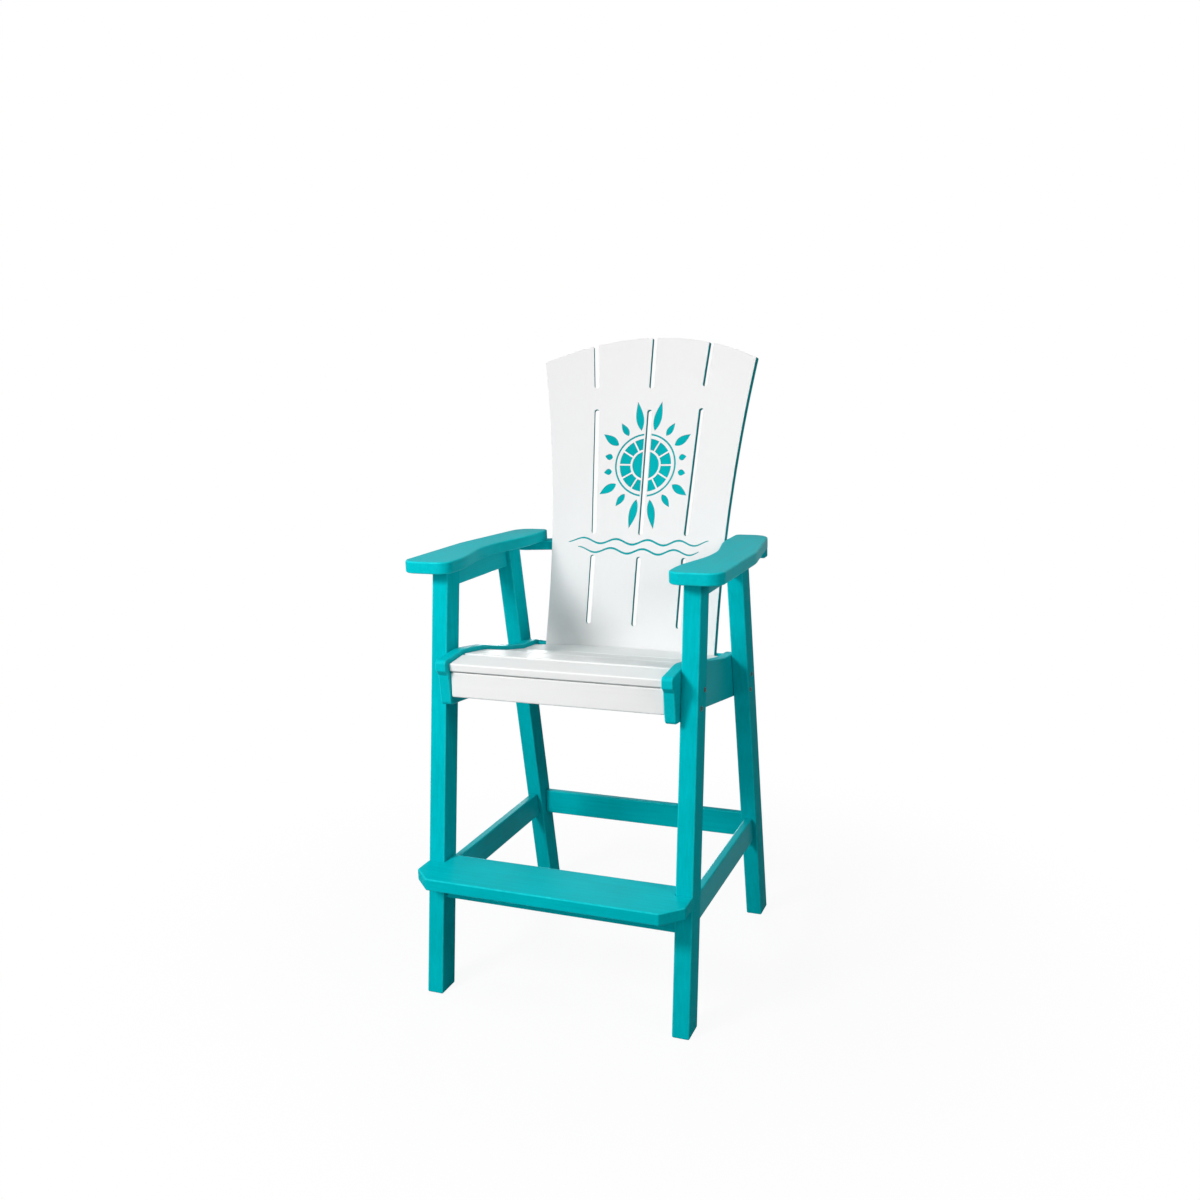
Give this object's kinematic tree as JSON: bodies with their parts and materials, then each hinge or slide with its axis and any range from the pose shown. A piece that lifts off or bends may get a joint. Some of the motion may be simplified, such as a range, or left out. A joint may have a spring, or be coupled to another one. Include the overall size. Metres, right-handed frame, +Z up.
{
  "type": "counter chair",
  "caption": "Tall outdoor armchair of plastic boards with a curved fan-shaped back, a contoured slatted seat, paddle arms and a footrest, for sitting at a high counter or bar.",
  "frame": {"origin": "centre of the bounding box's bottom face, on the floor", "axes": "+Z up; the chair faces -Y, so +Y is towards its back; +X is to the right as seen from the front"},
  "size_m": [0.754, 0.8589, 1.4978],
  "materials": {
    "teal_board": "satin, fine grain",
    "white_board": "satin, fine grain",
    "screw_steel": "brushed"
  },
  "bodies": {
    "root": {"front_leg_left": "teal_board", "front_leg_right": "teal_board", "rear_leg_left": "teal_board", "rear_leg_right": "teal_board", "seat_rail_left": "teal_board", "seat_rail_right": "teal_board", "seat_cleat_left": "teal_board", "seat_cleat_right": "teal_board", "seat_slat_1": "white_board", "seat_slat_2": "white_board", "seat_slat_3": "white_board", "seat_slat_4": "white_board", "seat_slat_5": "white_board", "seat_apron": "white_board", "back_panel": "white_board", "back_rail_upper": "teal_board", "back_rail_lower": "teal_board", "arm_left": "teal_board", "arm_right": "teal_board", "arm_rail_left": "teal_board", "arm_rail_right": "teal_board", "side_stretcher_left": "teal_board", "side_stretcher_right": "teal_board", "rear_stretcher": "teal_board", "front_stretcher": "teal_board", "footrest": "teal_board", "leg_screw_front_left_upper": "screw_steel", "leg_screw_front_left_lower": "screw_steel", "leg_screw_front_right_upper": "screw_steel", "leg_screw_front_right_lower": "screw_steel", "leg_screw_rear_left_upper": "screw_steel", "leg_screw_rear_left_lower": "screw_steel", "leg_screw_rear_right_upper": "screw_steel", "leg_screw_rear_right_lower": "screw_steel", "slat_screw_1_left": "screw_steel", "slat_screw_1_right": "screw_steel", "slat_screw_2_left": "screw_steel", "slat_screw_2_right": "screw_steel", "slat_screw_3_left": "screw_steel", "slat_screw_3_right": "screw_steel", "slat_screw_4_left": "screw_steel", "slat_screw_4_right": "screw_steel", "slat_screw_5_left": "screw_steel", "slat_screw_5_right": "screw_steel", "rail_screw_left": "screw_steel", "rail_screw_right": "screw_steel", "cleat_screw_front_left": "screw_steel", "cleat_screw_front_right": "screw_steel", "cleat_screw_rear_left": "screw_steel", "cleat_screw_rear_right": "screw_steel", "panel_screw_upper_left": "screw_steel", "panel_screw_upper_right": "screw_steel", "panel_screw_lower_left": "screw_steel", "panel_screw_lower_right": "screw_steel", "arm_screw_front_left": "screw_steel", "arm_screw_front_right": "screw_steel", "arm_screw_rear_left": "screw_steel", "arm_screw_rear_right": "screw_steel", "footrest_screw_left": "screw_steel", "footrest_screw_right": "screw_steel"}
  },
  "joints": []
}
